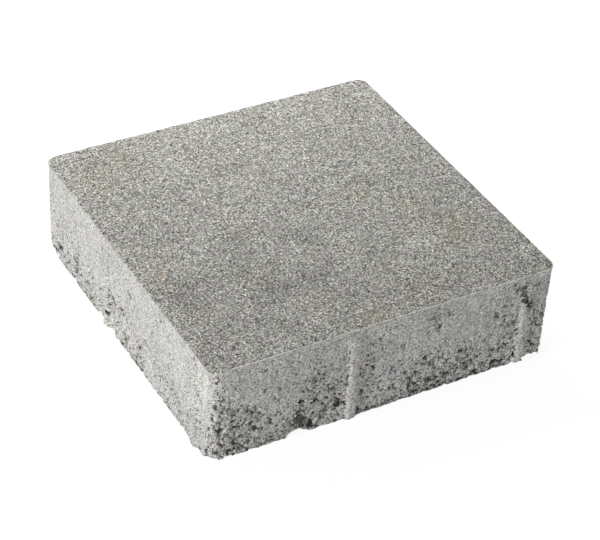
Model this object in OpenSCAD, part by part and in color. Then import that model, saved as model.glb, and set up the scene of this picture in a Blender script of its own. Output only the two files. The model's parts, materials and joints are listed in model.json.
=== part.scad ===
// A square concrete paving stone, pressed in one piece in a steel mould.
// X and Y run along its sides, Z points up, and the origin is the middle of its underside.
// A side is described as seen from outside, from its left-hand end to its right-hand end.

/* [Stone] */
// Width along X, without the spacer nibs
stone_w = 278; // [160:1:600]
// Length along Y, without the spacer nibs
stone_l = 278; // [160:1:600]
// Height of the stone
stone_h = 80; // [50:1:160]
// Radius of the four upright corners
corner_r = 9; // [3:0.5:25]

/* [Spacer nibs] */
// How far a nib stands out of its side, which is the width of the joint
nib_proud = 2; // [1:0.1:6]
// Width of a nib where it meets the side
nib_root_w = 11; // [7:0.5:20]
// Width of a nib's flat crown
nib_crown_w = 5; // [2:0.5:6]
// Height of plain side between the wearing face and the top of a nib
nib_clear_h = 5; // [2:0.5:15]
// Height of the slope at the top of a nib
nib_slope_h = 7; // [2:0.5:15]
// From the left-hand end of a side to the middle of its first nib
first_nib_at = 112; // [40:1:115]
// From the middle of the second nib to the right-hand end of a side
last_nib_at = 24; // [22:1:36]

/* [Broken arris] */
// Half the length of the bite out of the front lower edge
edge_bite_c = 8; // [4:0.5:10]
// Height of that bite up the side
edge_bite_h = 5; // [2:0.5:8]
// Depth of that bite across the underside
edge_bite_d = 7; // [2:0.5:9]
// From the left-hand end of the front side to the middle of that bite
edge_bite_at = 69.5; // [30:0.5:90]
// Half the length of the bite out of the lower front left corner
corner_bite_c = 9; // [5:0.5:16]
// Height of the corner's bite up the stone
corner_bite_h = 5.5; // [2:0.5:10]
// Depth of the corner's bite across the underside
corner_bite_d = 3; // [2:0.5:9]

/* [Hidden] */
$fn = 64;
SIDES = 4;
FRONT = 0;
// How deep a nib is rooted in the stone, so that the two are one solid
nib_embed = 2;
nib_top_z = stone_h - nib_clear_h;
nib_slope_z = nib_top_z - nib_slope_h;
// From the middle of the stone to the middle of its front left rounded corner
corner_arc = [stone_w / 2 - corner_r, stone_l / 2 - corner_r];

// Length of a side, counted anticlockwise from the front one
function side_len(side) = side % 2 == 0 ? stone_w : stone_l;
// Distance from the middle of the stone to a side
function side_reach(side) = (side % 2 == 0 ? stone_l : stone_w) / 2;

// Puts its children on a side: X runs from left to right along it and Y points out of it
module on_side(side) {
    rotate([0, 0, 90 * side])
        translate([0, -side_reach(side), 0])
            mirror([0, 1, 0])
                children();
}

// Plan of the stone, with its rounded corners
module stone_plan() {
    square([stone_w - 2 * corner_r, stone_l], center = true);
    square([stone_w, stone_l - 2 * corner_r], center = true);
    for (x = [-1, 1], y = [-1, 1])
        translate([x * corner_arc.x, y * corner_arc.y])
            circle(r = corner_r);
}

// A nib's plan: sloped flanks from its root to its flat crown
module nib_plan() {
    polygon([
        [-nib_root_w / 2, -nib_embed],
        [-nib_root_w / 2, 0],
        [-nib_crown_w / 2, nib_proud],
        [nib_crown_w / 2, nib_proud],
        [nib_root_w / 2, 0],
        [nib_root_w / 2, -nib_embed]
    ]);
}

// A nib's profile, seen along the side: its crown ends in a slope below the wearing face
module nib_profile() {
    polygon([
        [-nib_embed, 0],
        [nib_proud, 0],
        [nib_proud, nib_slope_z],
        [0, nib_top_z],
        [-nib_embed, nib_top_z]
    ]);
}

module spacer_nib() {
    intersection() {
        linear_extrude(height = stone_h)
            nib_plan();
        rotate([90, 0, 90])
            linear_extrude(height = nib_root_w, center = true)
                nib_profile();
    }
}

// Two nibs on each side, at places that miss those of a neighbour laid the same way round
module spacer_nibs() {
    for (side = [0 : SIDES - 1])
        on_side(side)
            for (x = [first_nib_at - side_len(side) / 2, side_len(side) / 2 - last_nib_at])
                translate([x, 0, 0])
                    spacer_nib();
}

// A shell-shaped fracture across an edge: half_len along it, up_h up the side and in_d across the underside
module bite(half_len, up_h, in_d) {
    drop = (half_len * half_len - up_h * up_h) / (2 * up_h);
    out = (half_len * half_len - in_d * in_d) / (2 * in_d);
    translate([0, out, -drop])
        sphere(r = norm([half_len, drop, out]));
}

module edge_bite() {
    on_side(FRONT)
        translate([edge_bite_at - side_len(FRONT) / 2, 0, 0])
            bite(edge_bite_c, edge_bite_h, edge_bite_d);
}

module corner_bite() {
    translate([-corner_arc.x, -corner_arc.y, 0])
        rotate([0, 0, 135])
            translate([0, corner_r, 0])
                bite(corner_bite_c, corner_bite_h, corner_bite_d);
}

module paving_stone() {
    color([0.62, 0.615, 0.59])
        difference() {
            union() {
                linear_extrude(height = stone_h)
                    stone_plan();
                spacer_nibs();
            }
            edge_bite();
            corner_bite();
        }
}

paving_stone();
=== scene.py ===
import json
import math

import bpy
import numpy as np
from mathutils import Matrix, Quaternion, Vector

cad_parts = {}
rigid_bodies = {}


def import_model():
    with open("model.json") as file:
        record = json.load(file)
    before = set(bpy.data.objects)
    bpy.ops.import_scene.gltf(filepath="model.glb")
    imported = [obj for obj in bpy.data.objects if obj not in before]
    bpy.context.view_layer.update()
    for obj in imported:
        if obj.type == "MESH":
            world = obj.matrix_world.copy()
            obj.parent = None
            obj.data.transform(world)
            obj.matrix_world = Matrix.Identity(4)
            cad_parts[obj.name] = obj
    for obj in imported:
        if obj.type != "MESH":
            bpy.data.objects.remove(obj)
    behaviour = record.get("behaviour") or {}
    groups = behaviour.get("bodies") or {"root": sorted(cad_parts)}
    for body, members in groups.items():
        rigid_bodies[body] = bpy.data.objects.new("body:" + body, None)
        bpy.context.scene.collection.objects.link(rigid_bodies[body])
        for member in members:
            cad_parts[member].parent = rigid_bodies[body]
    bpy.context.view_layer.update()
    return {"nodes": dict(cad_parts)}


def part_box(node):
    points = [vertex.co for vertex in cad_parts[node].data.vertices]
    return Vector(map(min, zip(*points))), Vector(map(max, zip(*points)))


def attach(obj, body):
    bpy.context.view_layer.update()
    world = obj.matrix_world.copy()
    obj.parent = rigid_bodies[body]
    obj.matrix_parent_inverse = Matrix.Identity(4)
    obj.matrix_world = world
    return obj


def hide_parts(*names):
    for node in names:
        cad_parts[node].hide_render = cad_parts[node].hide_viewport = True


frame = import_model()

# --- Pressed stone: the cast shape -------------------------------------------------------------
# A square paving stone of earth-moist concrete, filled into a steel mould, vibrated, pressed and
# pushed out at once. Its skin starts as the mould left it: flat, with two spacer nibs on a side.

STONE_LOW, STONE_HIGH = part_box("paving_stone")
NIB_PROUD = 0.002
HALF_SIDE = STONE_HIGH.x - NIB_PROUD
HEIGHT = STONE_HIGH.z
FRONT, RIGHT, BACK, LEFT = range(4)

cast = frame["nodes"]["paving_stone"]
stone = bpy.data.objects.new("pressed_stone", cast.data.copy())
bpy.context.scene.collection.objects.link(stone)
stone.data.materials.clear()
bpy.ops.object.select_all(action="DESELECT")
stone.select_set(True)
bpy.context.view_layer.objects.active = stone
bpy.ops.object.mode_set(mode="EDIT")
bpy.ops.mesh.select_all(action="SELECT")
bpy.ops.mesh.remove_doubles(threshold=0.00001)
bpy.ops.object.mode_set(mode="OBJECT")

# --- Pressed stone: voids ------------------------------------------------------------------------
# Where the stiff mix didn't close against the mould or crumbled when it was pushed out, lumpy
# holes are left in the sides. A lump is a side, its mm along it and below the top, its half size.

VOIDS = [
    (FRONT, 251, 11, 3.0), (FRONT, 252, 16, 2.6), (FRONT, 253, 21, 3.0), (FRONT, 257, 26, 3.2),
    (FRONT, 258, 31, 2.4), (FRONT, 171, 12, 1.6), (FRONT, 175, 12, 2.0), (FRONT, 179, 13, 1.5),
    (FRONT, 72, 50, 2.2), (FRONT, 72, 54, 1.7), (FRONT, 70, 66, 3.6), (FRONT, 74, 69, 4.2),
    (FRONT, 78, 72, 3.0), (FRONT, 66, 80, 3.4), (FRONT, 71, 80, 3.0), (FRONT, 90, 66, 2.2),
    (FRONT, 100, 63, 2.6), (FRONT, 119, 35, 1.6), (FRONT, 11, 33, 1.6), (FRONT, 15, 36, 1.9),
    (FRONT, 19, 39, 1.6), (FRONT, 81, 35, 1.7), (FRONT, 152, 28, 1.7), (FRONT, 152, 31, 1.5),
    (FRONT, 202, 51, 2.2), (FRONT, 205, 54, 2.0), (FRONT, 177, 69, 2.8), (FRONT, 168, 74, 2.4),
    (FRONT, 209, 68, 2.2), (FRONT, 216, 62, 1.9), (FRONT, 230, 28, 1.9), (FRONT, 265, 81, 4.2),
    (FRONT, 270, 80, 3.2), (FRONT, 254, 83, 4.4), (FRONT, 260, 82, 3.2), (FRONT, 15, 81, 2.8),
    (LEFT, 105, 15, 2.4), (LEFT, 121, 47, 2.4), (LEFT, 125, 49, 2.4), (LEFT, 114, 65, 2.4),
    (LEFT, 249, 14, 2.2), (LEFT, 254, 16, 2.6), (LEFT, 274, 72, 3.0), (LEFT, 24, 67, 2.6),
    (LEFT, 200, 54, 1.7), (LEFT, 168, 22, 1.6), (LEFT, 215, 27, 1.6), (LEFT, 221, 31, 1.8),
    (LEFT, 3, 80, 6.0), (LEFT, 10, 81, 5.0), (LEFT, 16, 82, 4.0), (LEFT, 99, 81, 4.6),
    (LEFT, 107, 82, 3.6), (LEFT, 114, 82, 4.0), (LEFT, 120, 82, 4.8), (LEFT, 52, 80, 2.4),
    (RIGHT, 60, 20, 2.6), (RIGHT, 66, 24, 2.2), (RIGHT, 188, 58, 2.8), (RIGHT, 194, 62, 2.2),
    (RIGHT, 113, 8, 2.0), (RIGHT, 254, 10, 2.2), (RIGHT, 30, 80, 3.6), (RIGHT, 150, 81, 3.4),
    (BACK, 84, 48, 2.6), (BACK, 90, 52, 2.4), (BACK, 210, 24, 2.2), (BACK, 214, 29, 1.9),
    (BACK, 112, 8, 2.0), (BACK, 255, 11, 2.2), (BACK, 170, 81, 3.8), (BACK, 46, 81, 3.4),
]


def on_side(side, along, below):
    """A place on a side, from mm along it from its left end and mm below the wearing face."""
    turn = Quaternion((0, 0, 1), side * math.pi / 2)
    return turn @ Vector((along / 1000 - HALF_SIDE, -HALF_SIDE, HEIGHT - below / 1000))


lumps = []
for side, along, below, half in VOIDS:
    bpy.ops.mesh.primitive_ico_sphere_add(
        subdivisions=3, radius=half / 1000, location=on_side(side, along, below))
    lumps.append(bpy.context.object)
bpy.ops.object.select_all(action="DESELECT")
for lump in lumps:
    lump.select_set(True)
bpy.ops.object.join()
voids = bpy.context.object
lumpy = voids.modifiers.new("lumpy", "DISPLACE")
lumpy.texture = bpy.data.textures.new("lumpy", "CLOUDS")
lumpy.texture.noise_scale = 0.003
lumpy.texture_coords = "GLOBAL"
lumpy.strength = 0.0032
bpy.ops.object.modifier_apply(modifier=lumpy.name)
carve = stone.modifiers.new("carve", "BOOLEAN")
carve.operation = "DIFFERENCE"
carve.solver = "EXACT"
carve.use_self = True
carve.object = voids
bpy.ops.object.select_all(action="DESELECT")
stone.select_set(True)
bpy.context.view_layer.objects.active = stone
bpy.ops.object.modifier_apply(modifier=carve.name)
bpy.data.objects.remove(voids)

# --- Pressed stone: relief ------------------------------------------------------------------------
# The core mix is lumps of coated gravel with grit between them. Paste closes most of a side, but
# where the mix stayed open, crevices run between the lumps and some lumps sit back from the wall.

VOXEL = 0.0007
MOST_TRIANGLES = 195_000
# Across a lump and a grain of grit, in mm.
LUMP = 5.2
GRIT = 2.3
# A patch is a side, its mm along it and below the top, its radius in mm, and how much more open it is.
OPEN_PATCHES = [
    (FRONT, 14, 42, 26, 0.13), (FRONT, 88, 38, 22, 0.08), (FRONT, 126, 26, 16, 0.1),
    (FRONT, 236, 28, 22, 0.18), (FRONT, 262, 30, 24, 0.12), (FRONT, 56, 30, 30, -0.15),
    (FRONT, 150, 16, 34, -0.1), (FRONT, 205, 24, 30, -0.15), (FRONT, 226, 50, 18, -0.2),
    (FRONT, 44, 52, 14, -0.15), (FRONT, 180, 70, 40, 0.08), (FRONT, 178, 18, 16, 0.2),
    (LEFT, 122, 52, 20, 0.2), (LEFT, 60, 74, 34, 0.1), (LEFT, 252, 22, 18, 0.2),
]


def add(tree, kind, feeds=None, out=0, **settings):
    """Adds a node with its settings, feeds its sockets from values or outputs, and returns an output."""
    made = tree.nodes.new(kind)
    for name, value in settings.items():
        setattr(made, name, value)
    for socket, source in (feeds or {}).items():
        if isinstance(source, bpy.types.NodeSocket):
            tree.links.new(source, made.inputs[socket])
        else:
            made.inputs[socket].default_value = source
    return made.outputs[out]


def patch(tree, mm, centre, radius):
    """A soft round patch: 1 in its middle, 0 at its radius and beyond, in mm."""
    away = add(tree, "ShaderNodeVectorMath", {0: mm, 1: centre}, out="Value", operation="DISTANCE")
    return add(tree, "ShaderNodeMapRange", {0: away, 1: radius, 2: 0.3 * radius, 3: 0.0, 4: 1.0},
               interpolation_type="SMOOTHSTEP")


def crevices(tree, mm, openness):
    """The depth in mm of pockets and set-back lumps at a place, and how solid it is between pockets."""
    wander = add(tree, "ShaderNodeTexNoise", {"Vector": mm, "Scale": 0.25, "Detail": 3.0}, out="Color")
    wander = add(tree, "ShaderNodeVectorMath", {0: wander, 1: (0.5, 0.5, 0.5)}, operation="SUBTRACT")
    wander = add(tree, "ShaderNodeVectorMath", {0: wander, "Scale": 3.2}, operation="SCALE")
    bent = add(tree, "ShaderNodeVectorMath", {0: mm, 1: wander}, operation="ADD")
    gape = add(tree, "ShaderNodeTexNoise", {"Vector": bent, "Scale": 1 / 4.5, "Detail": 2.0})
    gape = add(tree, "ShaderNodeMath", {0: gape, 1: 2.4, 2: -1.2}, operation="MULTIPLY_ADD")
    deep = 0.0
    solid = 1.0
    for size, pocket_mm, back_mm, from_open in ((LUMP, 1.9, 1.3, 0.34), (GRIT, 1.0, 0.7, 0.08)):
        cell = add(tree, "ShaderNodeTexVoronoi", {"Vector": bent, "Scale": 1 / size}).node
        luck = add(tree, "ShaderNodeSeparateXYZ", {0: cell.outputs["Color"]})
        apart = add(tree, "ShaderNodeMapRange",
                    {0: openness, 1: from_open, 2: from_open + 0.5, 3: 0.0, 4: 1.0})
        part = add(tree, "ShaderNodeMath", {0: apart, 1: 0.9, 2: gape}, operation="MULTIPLY_ADD")
        part = add(tree, "ShaderNodeMapRange", {0: part, 1: 0.3, 2: 0.75, 3: 0.0, 4: 1.0})
        pocket = add(tree, "ShaderNodeMapRange",
                     {0: cell.outputs["Distance"], 1: 0.56, 2: 0.8, 3: 0.0, 4: 1.0},
                     interpolation_type="SMOOTHSTEP")
        pocket = add(tree, "ShaderNodeMath", {0: pocket, 1: part}, operation="MULTIPLY")
        back = add(tree, "ShaderNodeMath", {0: openness, 1: 0.6, 2: luck}, operation="MULTIPLY_ADD")
        back = add(tree, "ShaderNodeMapRange", {0: back, 1: 1.05, 2: 1.3, 3: 0.0, 4: back_mm})
        dome = add(tree, "ShaderNodeMath", {0: cell.outputs["Distance"], 1: 2.0}, operation="POWER")
        dome = add(tree, "ShaderNodeMath", {0: dome, 1: 0.16 * size, 2: back}, operation="MULTIPLY_ADD")
        deep = add(tree, "ShaderNodeMath", {0: dome, 1: apart, 2: deep}, operation="MULTIPLY_ADD")
        deep = add(tree, "ShaderNodeMath", {0: pocket, 1: pocket_mm, 2: deep}, operation="MULTIPLY_ADD")
        filled = add(tree, "ShaderNodeMath", {0: 1.0, 1: pocket}, operation="SUBTRACT")
        solid = add(tree, "ShaderNodeMath", {0: solid, 1: filled}, operation="MULTIPLY")
    return deep, solid


relief = bpy.data.node_groups.new("relief", "GeometryNodeTree")
relief.interface.new_socket("Geometry", in_out="INPUT", socket_type="NodeSocketGeometry")
relief.interface.new_socket("Geometry", in_out="OUTPUT", socket_type="NodeSocketGeometry")
skin = add(relief, "NodeGroupInput")
place = add(relief, "GeometryNodeInputPosition")
normal = add(relief, "GeometryNodeInputNormal")
mm = add(relief, "ShaderNodeVectorMath", {0: place, "Scale": 1000.0}, operation="SCALE")
facing = add(relief, "ShaderNodeSeparateXYZ", {0: normal}).node
spot = add(relief, "ShaderNodeSeparateXYZ", {0: mm}).node
below = add(relief, "ShaderNodeMath", {0: HEIGHT * 1000, 1: spot.outputs["Z"]}, operation="SUBTRACT")

# How open the mix lies, from 0 to 1: more low down, in drifts and in patches, less on the left side,
# not at all along the wearing face, and little on the crowns of the nibs.
share_down = add(relief, "ShaderNodeMath", {0: below, 1: 0.001 / HEIGHT}, operation="MULTIPLY")
openness = add(relief, "ShaderNodeFloatCurve", {"Value": share_down})
bend = openness.node.mapping.curves[0].points
bend[0].location = (0.0, 0.1)
bend[1].location = (1.0, 0.6)
for share, reached in ((0.06, 0.22), (0.3, 0.26), (0.5, 0.34), (0.68, 0.5), (0.8, 0.58)):
    bend.new(share, reached)
openness.node.mapping.update()
drift = add(relief, "ShaderNodeTexNoise", {"Vector": mm, "Scale": 1 / 16, "Detail": 4.0})
openness = add(relief, "ShaderNodeMath", {0: drift, 1: 1.0, 2: openness}, operation="MULTIPLY_ADD")
openness = add(relief, "ShaderNodeMath", {0: openness, 1: 0.44}, operation="SUBTRACT")
for side, along, depth, radius, more in OPEN_PATCHES:
    near = patch(relief, mm, tuple(on_side(side, along, depth) * 1000), radius)
    openness = add(relief, "ShaderNodeMath", {0: near, 1: more, 2: openness}, operation="MULTIPLY_ADD")
leftness = add(relief, "ShaderNodeMapRange", {0: facing.outputs["X"], 1: -0.9, 2: -0.5, 3: 1.0, 4: 0.0})
openness = add(relief, "ShaderNodeMath", {0: leftness, 1: -0.12, 2: openness}, operation="MULTIPLY_ADD")
calm = add(relief, "ShaderNodeMapRange", {0: below, 1: 0.6, 2: 4.0, 3: 0.0, 4: 1.0})
openness = add(relief, "ShaderNodeMath", {0: openness, 1: calm}, operation="MULTIPLY")
out_x = add(relief, "ShaderNodeMath", {0: spot.outputs["X"]}, operation="ABSOLUTE")
out_y = add(relief, "ShaderNodeMath", {0: spot.outputs["Y"]}, operation="ABSOLUTE")
outermost = add(relief, "ShaderNodeMath", {0: out_x, 1: out_y}, operation="MAXIMUM")
smeared = add(relief, "ShaderNodeMapRange",
              {0: outermost, 1: HALF_SIDE * 1000 + 0.3, 2: HALF_SIDE * 1000 + 1.5, 3: 1.0, 4: 0.35})
openness = add(relief, "ShaderNodeMath", {0: openness, 1: smeared}, operation="MULTIPLY")

# Crevices, and the drag of the mould along the sides.
deep, solid = crevices(relief, mm, openness)
dragged = add(relief, "ShaderNodeVectorMath", {0: mm, 1: (0.4, 0.4, 0.07)}, operation="MULTIPLY")
drag = add(relief, "ShaderNodeTexNoise", {"Vector": dragged, "Scale": 1.0, "Detail": 3.0})
sunk = add(relief, "ShaderNodeMath", {0: drag, 1: 0.9, 2: deep}, operation="MULTIPLY_ADD")
sunk = add(relief, "ShaderNodeMath", {0: sunk, 1: calm}, operation="MULTIPLY")

# Chips, up to 3.2 mm deep, along the lowest 5 mm.
chip = add(relief, "ShaderNodeTexNoise", {"Vector": mm, "Scale": 1 / 8, "Detail": 4.0})
chip = add(relief, "ShaderNodeMapRange", {0: chip, 1: 0.47, 2: 0.64, 3: 0.0, 4: 3.2})
low_down = add(relief, "ShaderNodeMapRange", {0: spot.outputs["Z"], 1: 5.0, 2: 0.0, 3: 0.0, 4: 1.0})
chip = add(relief, "ShaderNodeMath", {0: chip, 1: low_down}, operation="MULTIPLY")
sunk = add(relief, "ShaderNodeMath", {0: sunk, 1: chip}, operation="ADD")

# The wearing face is even, and the underside shows where the mix lay on its board.
even_face = add(relief, "ShaderNodeTexNoise", {"Vector": mm, "Scale": 1 / 5, "Detail": 3.0})
even_face = add(relief, "ShaderNodeMath", {0: even_face, 1: 0.35}, operation="MULTIPLY")
rough_face = add(relief, "ShaderNodeTexNoise", {"Vector": mm, "Scale": 1 / 6, "Detail": 2.0})
rough_face = add(relief, "ShaderNodeMapRange", {0: rough_face, 1: 0.42, 2: 0.7, 3: 0.0, 4: 1.8})
up = add(relief, "ShaderNodeMapRange", {0: facing.outputs["Z"], 1: 0.5, 2: 0.9, 3: 0.0, 4: 1.0})
down = add(relief, "ShaderNodeMapRange", {0: facing.outputs["Z"], 1: -0.6, 2: -0.95, 3: 0.0, 4: 1.0})
sunk = add(relief, "ShaderNodeMix", {0: up, 2: sunk, 3: even_face})
sunk = add(relief, "ShaderNodeMix", {0: down, 2: sunk, 3: rough_face})
push = add(relief, "ShaderNodeMath", {0: sunk, 1: -0.001}, operation="MULTIPLY")
push = add(relief, "ShaderNodeVectorMath", {0: normal, "Scale": push}, operation="SCALE")

# The finish below needs the place before the push, and how open the mix is there.
kept = add(relief, "GeometryNodeStoreNamedAttribute", {"Geometry": skin, "Name": "cast_mm", "Value": mm},
           data_type="FLOAT_VECTOR", domain="POINT")
kept = add(relief, "GeometryNodeStoreNamedAttribute",
           {"Geometry": kept, "Name": "openness", "Value": openness}, data_type="FLOAT", domain="POINT")
moved = add(relief, "GeometryNodeSetPosition", {"Geometry": kept, "Offset": push})
relief.links.new(moved, relief.nodes.new("NodeGroupOutput").inputs[0])

# A skin of even squares, without the few small bubbles that the voids leave closed inside the stone.
even = stone.modifiers.new("even", "REMESH")
even.mode = "VOXEL"
even.voxel_size = VOXEL
bpy.ops.object.modifier_apply(modifier=even.name)
bpy.ops.object.mode_set(mode="EDIT")
bpy.ops.mesh.select_all(action="DESELECT")
bpy.ops.object.mode_set(mode="OBJECT")
outermost_point = max(stone.data.vertices, key=lambda point: point.co.x)
outermost_point.select = True
bpy.ops.object.mode_set(mode="EDIT")
bpy.ops.mesh.select_linked()
bpy.ops.mesh.select_all(action="INVERT")
bpy.ops.mesh.delete(type="VERT")
bpy.ops.object.mode_set(mode="OBJECT")
shape = stone.modifiers.new("relief", "NODES")
shape.node_group = relief
bpy.ops.object.modifier_apply(modifier=shape.name)
thin = stone.modifiers.new("thin", "DECIMATE")
thin.ratio = MOST_TRIANGLES / (2 * len(stone.data.polygons))
thin.use_collapse_triangulate = True
bpy.ops.object.modifier_apply(modifier=thin.name)
bpy.ops.object.shade_smooth()

# A flat map of the whole skin, to bake on: every face goes onto the side of the stone's box that it
# lies nearest to, and the six sides lie next to each other, the two large ones first. Metres.
SHEET = 0.58
FIRST_ROW, SECOND_ROW, THIRD_ROW = 0.004, 0.292, 0.38
bake = stone.data.uv_layers.new(name="OFBake")
corners = len(stone.data.loops)
points = np.empty(len(stone.data.vertices) * 3)
stone.data.vertices.foreach_get("co", points)
points = points.reshape(-1, 3)
used = np.empty(corners, dtype=np.int64)
stone.data.loops.foreach_get("vertex_index", used)
middles = points[used].reshape(-1, 3, 3).mean(axis=1)
reach = HALF_SIDE + NIB_PROUD
depths = np.stack([HEIGHT - middles[:, 2], middles[:, 2], reach + middles[:, 1],
                   reach - middles[:, 0], reach - middles[:, 1], reach + middles[:, 0]])
nearest = np.repeat(depths.argmin(axis=0), 3)
x, y, z = points[used].T + reach
z = z - reach
layout = [
    (x, y, FIRST_ROW, FIRST_ROW), (2 * reach - x, y, SECOND_ROW, FIRST_ROW),
    (x, z, FIRST_ROW, SECOND_ROW), (y, z, SECOND_ROW, SECOND_ROW),
    (2 * reach - x, z, FIRST_ROW, THIRD_ROW), (2 * reach - y, z, SECOND_ROW, THIRD_ROW),
]
flat = np.zeros((corners, 2))
for number, (across, up_sheet, from_left, from_foot) in enumerate(layout):
    here = nearest == number
    flat[here, 0] = (across[here] + from_left) / SHEET
    flat[here, 1] = (up_sheet[here] + from_foot) / SHEET
bake.data.foreach_set("uv", flat.ravel())

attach(stone, "root")
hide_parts("paving_stone")

# --- Finish: vibrated paving concrete ------------------------------------------------------------
# Grey cement with sand of 0 to 2 mm. The wearing face shows every grain, light and dark, between
# open pores painted dark as shade; the sides are smeared with paste, and their crevices carry painted
# shade.


def colour(hex_code):
    """An sRGB hex colour as linear RGBA."""
    parts = [int(hex_code[i:i + 2], 16) / 255 for i in (1, 3, 5)]
    return [c / 12.92 if c <= 0.04045 else ((c + 0.055) / 1.055) ** 2.4 for c in parts] + [1.0]


# Across a grain of sand, in mm.
SAND = 0.8
# Across the wearing face, in mm from its middle: stains and damp spots with their radius, how much
# darker a spot is, and the damp ring round a dry patch.
WARM_STAINS = [
    (-117, 100, 30), (-92, 112, 22), (-46, -4, 13), (51, 2, 13), (-125, -28, 15), (-61, -59, 15),
    (-114, -77, 15), (97, -66, 30), (84, -26, 18), (-8, -128, 18), (36, -118, 24), (-40, -99, 18),
]
DAMP_SPOTS = [
    (-59, -77, 22, 0.14), (-118, -51, 26, 0.12), (-10, -30, 26, 0.07), (-98, 118, 30, 0.08),
    (20, -110, 40, 0.05),
]
RING_X, RING_Y, RING_RADIUS = -37, -44, 33.0
CORNER_RADIUS = 9.0
concrete = bpy.data.materials.new("vibrated_paving_concrete")
concrete.use_nodes = True
look = concrete.node_tree
shader = look.nodes["Principled BSDF"]
shader.inputs["Roughness"].default_value = 0.92
shader.inputs["Specular IOR Level"].default_value = 0.25
mm = add(look, "ShaderNodeAttribute", out="Vector", attribute_name="cast_mm")
openness = add(look, "ShaderNodeAttribute", out="Fac", attribute_name="openness")
spot = add(look, "ShaderNodeSeparateXYZ", {0: mm}).node

# Sand grains aren't round, so their pattern's coordinates wander by a third of a grain.
wander = add(look, "ShaderNodeTexNoise", {"Vector": mm, "Scale": 1.1, "Detail": 2.0}, out="Color")
wander = add(look, "ShaderNodeVectorMath", {0: wander, 1: (0.5, 0.5, 0.5)}, operation="SUBTRACT")
wander = add(look, "ShaderNodeVectorMath", {0: wander, "Scale": 1.4}, operation="SCALE")
bent = add(look, "ShaderNodeVectorMath", {0: mm, 1: wander}, operation="ADD")
sand = add(look, "ShaderNodeTexVoronoi", {"Vector": bent, "Scale": 1 / SAND}).node
luck = add(look, "ShaderNodeSeparateXYZ", {0: sand.outputs["Color"]}).node
holes = add(look, "ShaderNodeTexVoronoi", {"Vector": bent, "Scale": 1 / 1.6}).node
hole_luck = add(look, "ShaderNodeSeparateXYZ", {0: holes.outputs["Color"]}).node
quartz = add(look, "ShaderNodeTexVoronoi", {"Vector": bent, "Scale": 1 / 4.2}).node
quartz_luck = add(look, "ShaderNodeSeparateXYZ", {0: quartz.outputs["Color"]}).node
speck = add(look, "ShaderNodeTexNoise", {"Vector": mm, "Scale": 1.4, "Detail": 4.0, "Roughness": 0.7})
cloud = add(look, "ShaderNodeTexNoise", {"Vector": mm, "Scale": 1 / 40, "Detail": 3.0})
tint = add(look, "ShaderNodeTexNoise", {"Vector": mm, "Scale": 1 / 5, "Detail": 3.0}, out="Color")

# Pores: small holes of random size, all over the stone, painted dark below as shade.
pore_edge = add(look, "ShaderNodeMapRange", {0: hole_luck.outputs["X"], 1: 0.1, 2: 1.0, 3: 0.06, 4: 0.37})
pore = add(look, "ShaderNodeMath", {0: pore_edge, 1: holes.outputs["Distance"]}, operation="SUBTRACT")
pore = add(look, "ShaderNodeMapRange", {0: pore, 1: -0.03, 2: 0.05, 3: 0.0, 4: 1.0})

# Wearing face: grain by grain tones, from dark basalt to white quartz.
tones = add(look, "ShaderNodeValToRGB", {0: luck.outputs["X"]})
ramp = tones.node.color_ramp
ramp.elements[0].color = colour("#2e2d2b")
ramp.elements[1].color = colour("#efede5")
for place, shade in ((0.14, "#63625e"), (0.5, "#94938d"), (0.86, "#bfbeb7")):
    ramp.elements.new(place).color = colour(shade)
face = add(look, "ShaderNodeMapRange", {0: speck, 1: 0.3, 2: 0.7, 3: 0.3, 4: 1.46})
face = add(look, "ShaderNodeVectorMath", {0: tones, "Scale": face}, operation="SCALE")
white = add(look, "ShaderNodeMapRange", {0: quartz_luck.outputs["X"], 1: 0.55, 2: 1.0, 3: 0.0, 4: 0.2})
white = add(look, "ShaderNodeMath", {0: white, 1: quartz.outputs["Distance"]}, operation="SUBTRACT")
white = add(look, "ShaderNodeMapRange", {0: white, 1: 0.0, 2: 0.03, 3: 0.0, 4: 0.85})
face = add(look, "ShaderNodeMix", {0: white, 6: face, 7: colour("#e4e2da")}, out=2, data_type="RGBA")
stained = 0.0
for x, y, radius in WARM_STAINS:
    near = patch(look, mm, (x, y, HEIGHT * 1000), radius)
    stained = add(look, "ShaderNodeMath", {0: near, 1: stained}, operation="MAXIMUM")
blotch = add(look, "ShaderNodeTexNoise", {"Vector": mm, "Scale": 1 / 9, "Detail": 4.0})
blotch = add(look, "ShaderNodeMapRange", {0: blotch, 1: 0.38, 2: 0.62, 3: 0.15, 4: 0.85})
stained = add(look, "ShaderNodeMath", {0: stained, 1: blotch}, operation="MULTIPLY")
warm = add(look, "ShaderNodeVectorMath", {0: face, 1: (0.99, 0.93, 0.83)}, operation="MULTIPLY")
face = add(look, "ShaderNodeMix", {0: stained, 6: face, 7: warm}, out=2, data_type="RGBA")
damp = add(look, "ShaderNodeVectorMath", {0: mm, 1: (RING_X, RING_Y, HEIGHT * 1000)}, out="Value",
           operation="DISTANCE")
damp = add(look, "ShaderNodeMath", {0: damp, 1: RING_RADIUS}, operation="SUBTRACT")
damp = add(look, "ShaderNodeMath", {0: damp}, operation="ABSOLUTE")
damp = add(look, "ShaderNodeMapRange", {0: damp, 1: 14.0, 2: 2.0, 3: 0.0, 4: 0.12},
           interpolation_type="SMOOTHSTEP")
for x, y, radius, darker in DAMP_SPOTS:
    near = patch(look, mm, (x, y, HEIGHT * 1000), radius)
    damp = add(look, "ShaderNodeMath", {0: near, 1: darker, 2: damp}, operation="MULTIPLY_ADD")
dry = add(look, "ShaderNodeMath", {0: 1.0, 1: damp}, operation="SUBTRACT")
face = add(look, "ShaderNodeVectorMath", {0: face, "Scale": dry}, operation="SCALE")

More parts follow.
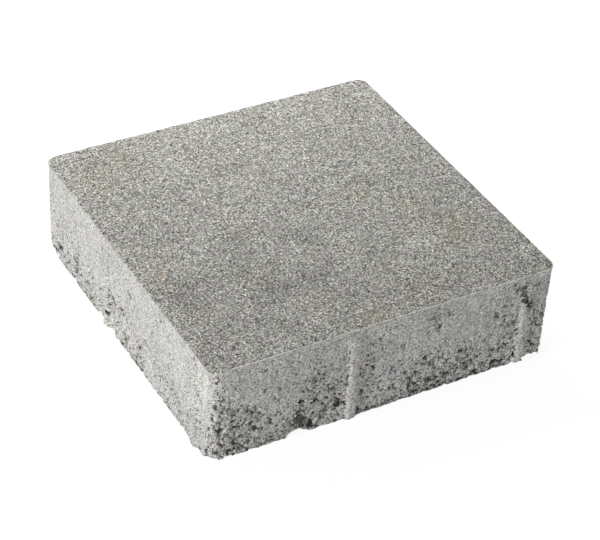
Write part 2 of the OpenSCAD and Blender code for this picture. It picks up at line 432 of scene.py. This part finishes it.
# How far a place lies from the middle of a corner's arc: the corner's radius all along the outline,
# and less inside it.
from_corner = add(look, "ShaderNodeVectorMath", {0: mm, 1: (1.0, 1.0, 0.0)}, operation="MULTIPLY")
from_corner = add(look, "ShaderNodeVectorMath", {0: from_corner}, operation="ABSOLUTE")
arc = HALF_SIDE * 1000 - CORNER_RADIUS
from_corner = add(look, "ShaderNodeVectorMath", {0: from_corner, 1: (arc, arc, 0.0)}, operation="SUBTRACT")
from_corner = add(look, "ShaderNodeVectorMath", {0: from_corner, 1: (0.0, 0.0, 0.0)}, operation="MAXIMUM")
outward = add(look, "ShaderNodeVectorMath", {0: from_corner}, out="Value", operation="LENGTH")

# Sides: paste with faint grains, streaked by the mould, and painted shade in its pockets and voids.
paste = add(look, "ShaderNodeMix", {0: luck.outputs["X"], 6: colour("#888784"), 7: colour("#d3d2ce")},
            out=2, data_type="RGBA")
dragged = add(look, "ShaderNodeVectorMath", {0: mm, 1: (0.6, 0.6, 0.08)}, operation="MULTIPLY")
streak = add(look, "ShaderNodeTexNoise", {"Vector": dragged, "Scale": 1.0, "Detail": 4.0})
streak = add(look, "ShaderNodeMath", {0: streak, 1: 0.5, 2: 0.75}, operation="MULTIPLY_ADD")
grainy = add(look, "ShaderNodeMapRange", {0: speck, 1: 0.3, 2: 0.7, 3: 0.5, 4: 1.5})
streak = add(look, "ShaderNodeMath", {0: streak, 1: grainy}, operation="MULTIPLY")
paste = add(look, "ShaderNodeVectorMath", {0: paste, "Scale": streak}, operation="SCALE")
deep, solid = crevices(look, mm, openness)
# Painted shade: pockets between the lumps are mixed towards near-black #2a2927.
painted_crevice_shade = add(look, "ShaderNodeMapRange", {0: solid, 1: 0.65, 2: 0.15, 3: 0.0, 4: 0.8})
# Painted shade: skin lying 0.6 mm or more inside the outline, as in the voids, is darkened, but not in the
# lowest 2 to 6 mm.
painted_void_shade = add(look, "ShaderNodeMapRange", {0: outward, 1: 8.4, 2: 5.6, 3: 0.0, 4: 0.6})
clear = add(look, "ShaderNodeMapRange", {0: spot.outputs["Z"], 1: 2.0, 2: 6.0, 3: 0.0, 4: 1.0})
painted_void_shade = add(look, "ShaderNodeMath", {0: painted_void_shade, 1: clear}, operation="MULTIPLY")
painted_crevice_shade = add(look, "ShaderNodeMath", {0: painted_crevice_shade, 1: painted_void_shade}, operation="MAXIMUM")
paste = add(look, "ShaderNodeMix", {0: painted_crevice_shade, 6: paste, 7: colour("#2a2927")}, out=2, data_type="RGBA")

# The wearing face ends in a ragged burr with a pale painted highlight where it catches the light; on the
# left arris, which lies in shade, the highlight is cut to a tenth.
ragged = add(look, "ShaderNodeMath", {0: speck, 1: 1.6, 2: outward}, operation="MULTIPLY_ADD")
painted_arris_highlight = add(look, "ShaderNodeMapRange", {0: ragged, 1: 8.6, 2: 9.0, 3: 0.0, 4: 1.0})
arris_highlight_share = add(look, "ShaderNodeMapRange", {0: spot.outputs["X"], 1: -137.0, 2: -131.0, 3: 0.1, 4: 1.0})
painted_arris_highlight = add(look, "ShaderNodeMath", {0: painted_arris_highlight, 1: arris_highlight_share}, operation="MULTIPLY")
face = add(look, "ShaderNodeMix", {0: painted_arris_highlight, 6: face, 7: colour("#dcdad2")}, out=2, data_type="RGBA")
on_top = add(look, "ShaderNodeMapRange",
             {0: spot.outputs["Z"], 1: HEIGHT * 1000 - 0.9, 2: HEIGHT * 1000 - 0.3})
shade = add(look, "ShaderNodeMix", {0: on_top, 6: paste, 7: face}, out=2, data_type="RGBA")

# Painted shade in the pores, a little fainter on the sides, and faint changes of tone and tint all over.
painted_pore_shade = add(look, "ShaderNodeMath", {0: on_top, 1: 0.05, 2: 0.88}, operation="MULTIPLY_ADD")
painted_pore_shade = add(look, "ShaderNodeMath", {0: painted_pore_shade, 1: pore}, operation="MULTIPLY")
shade = add(look, "ShaderNodeMix", {0: painted_pore_shade, 6: shade, 7: colour("#1e1d1c")}, out=2, data_type="RGBA")
broad = add(look, "ShaderNodeMapRange", {0: cloud, 1: 0.3, 2: 0.7, 3: 0.92, 4: 1.08})
tint = add(look, "ShaderNodeVectorMath", {0: tint, "Scale": 0.24}, operation="SCALE")
tint = add(look, "ShaderNodeVectorMath", {0: tint, 1: (0.88, 0.88, 0.88)}, operation="ADD")
shade = add(look, "ShaderNodeVectorMath", {0: shade, 1: tint}, operation="MULTIPLY")
shade = add(look, "ShaderNodeVectorMath", {0: shade, "Scale": broad}, operation="SCALE")
look.links.new(shade, shader.inputs["Base Color"])

# Fine relief of grains, pores and crevices, as a height in mm.
hump = add(look, "ShaderNodeMath", {0: sand.outputs["Distance"], 1: -0.35}, operation="MULTIPLY")
hump = add(look, "ShaderNodeMath", {0: speck, 1: 0.7, 2: hump}, operation="MULTIPLY_ADD")
hump = add(look, "ShaderNodeMath", {0: pore, 1: -0.35, 2: hump}, operation="MULTIPLY_ADD")
hump = add(look, "ShaderNodeMath", {0: deep, 1: -0.3, 2: hump}, operation="MULTIPLY_ADD")
bump = add(look, "ShaderNodeBump", {"Height": hump, "Distance": 0.001, "Strength": 0.85})
look.links.new(bump, shader.inputs["Normal"])
stone.data.materials.append(concrete)

# --- Studio ----------------------------------------------------------------------------------------
# A lit white table, an even white room, a soft key from the left and a small light over the back.

bpy.ops.mesh.primitive_plane_add(size=8, location=(0, 0, 0))
table = bpy.context.object
table.name = "table"
white = bpy.data.materials.new("lit_white_table")
white.use_nodes = True
paint = white.node_tree.nodes["Principled BSDF"]
paint.inputs["Base Color"].default_value = (0.17, 0.17, 0.17, 1)
paint.inputs["Roughness"].default_value = 1.0
paint.inputs["Specular IOR Level"].default_value = 0.0
paint.inputs["Emission Color"].default_value = (1, 1, 1, 1)
paint.inputs["Emission Strength"].default_value = 0.88
table.data.materials.append(white)

world = bpy.data.worlds.new("studio")
world.use_nodes = True
world.node_tree.nodes["Background"].inputs["Color"].default_value = (1, 1, 1, 1)
world.node_tree.nodes["Background"].inputs["Strength"].default_value = 0.42
bpy.context.scene.world = world

centre = Vector((0, 0, HEIGHT / 2))
for name, away, size, power in (("key", Vector((-2.05, -0.32, 0.66)), 0.5, 39.8),
                                ("over_back", Vector((0.02, 0.45, 0.51)), 0.3, 4.9)):
    bpy.ops.object.light_add(type="AREA", location=centre + away)
    light = bpy.context.object
    light.name = name
    light.rotation_euler = away.to_track_quat("Z", "Y").to_euler()
    light.data.size = size
    light.data.energy = power

azimuth, elevation, roll = math.radians(-31.16), math.radians(37.54), math.radians(3.73)
back = Vector((math.sin(azimuth) * math.cos(elevation), -math.cos(azimuth) * math.cos(elevation),
               math.sin(elevation)))
turn = back.to_track_quat("Z", "Y") @ Quaternion((0, 0, 1), roll)
DISTANCE = 1.4944
bpy.ops.object.camera_add(location=centre + turn @ Vector((0.0060, -0.0114, DISTANCE)))
camera = bpy.context.object
camera.rotation_euler = turn.to_euler()
camera.data.sensor_width = 36
camera.data.lens = 120.2
bpy.context.scene.camera = camera
bpy.context.scene.view_settings.view_transform = "Standard"
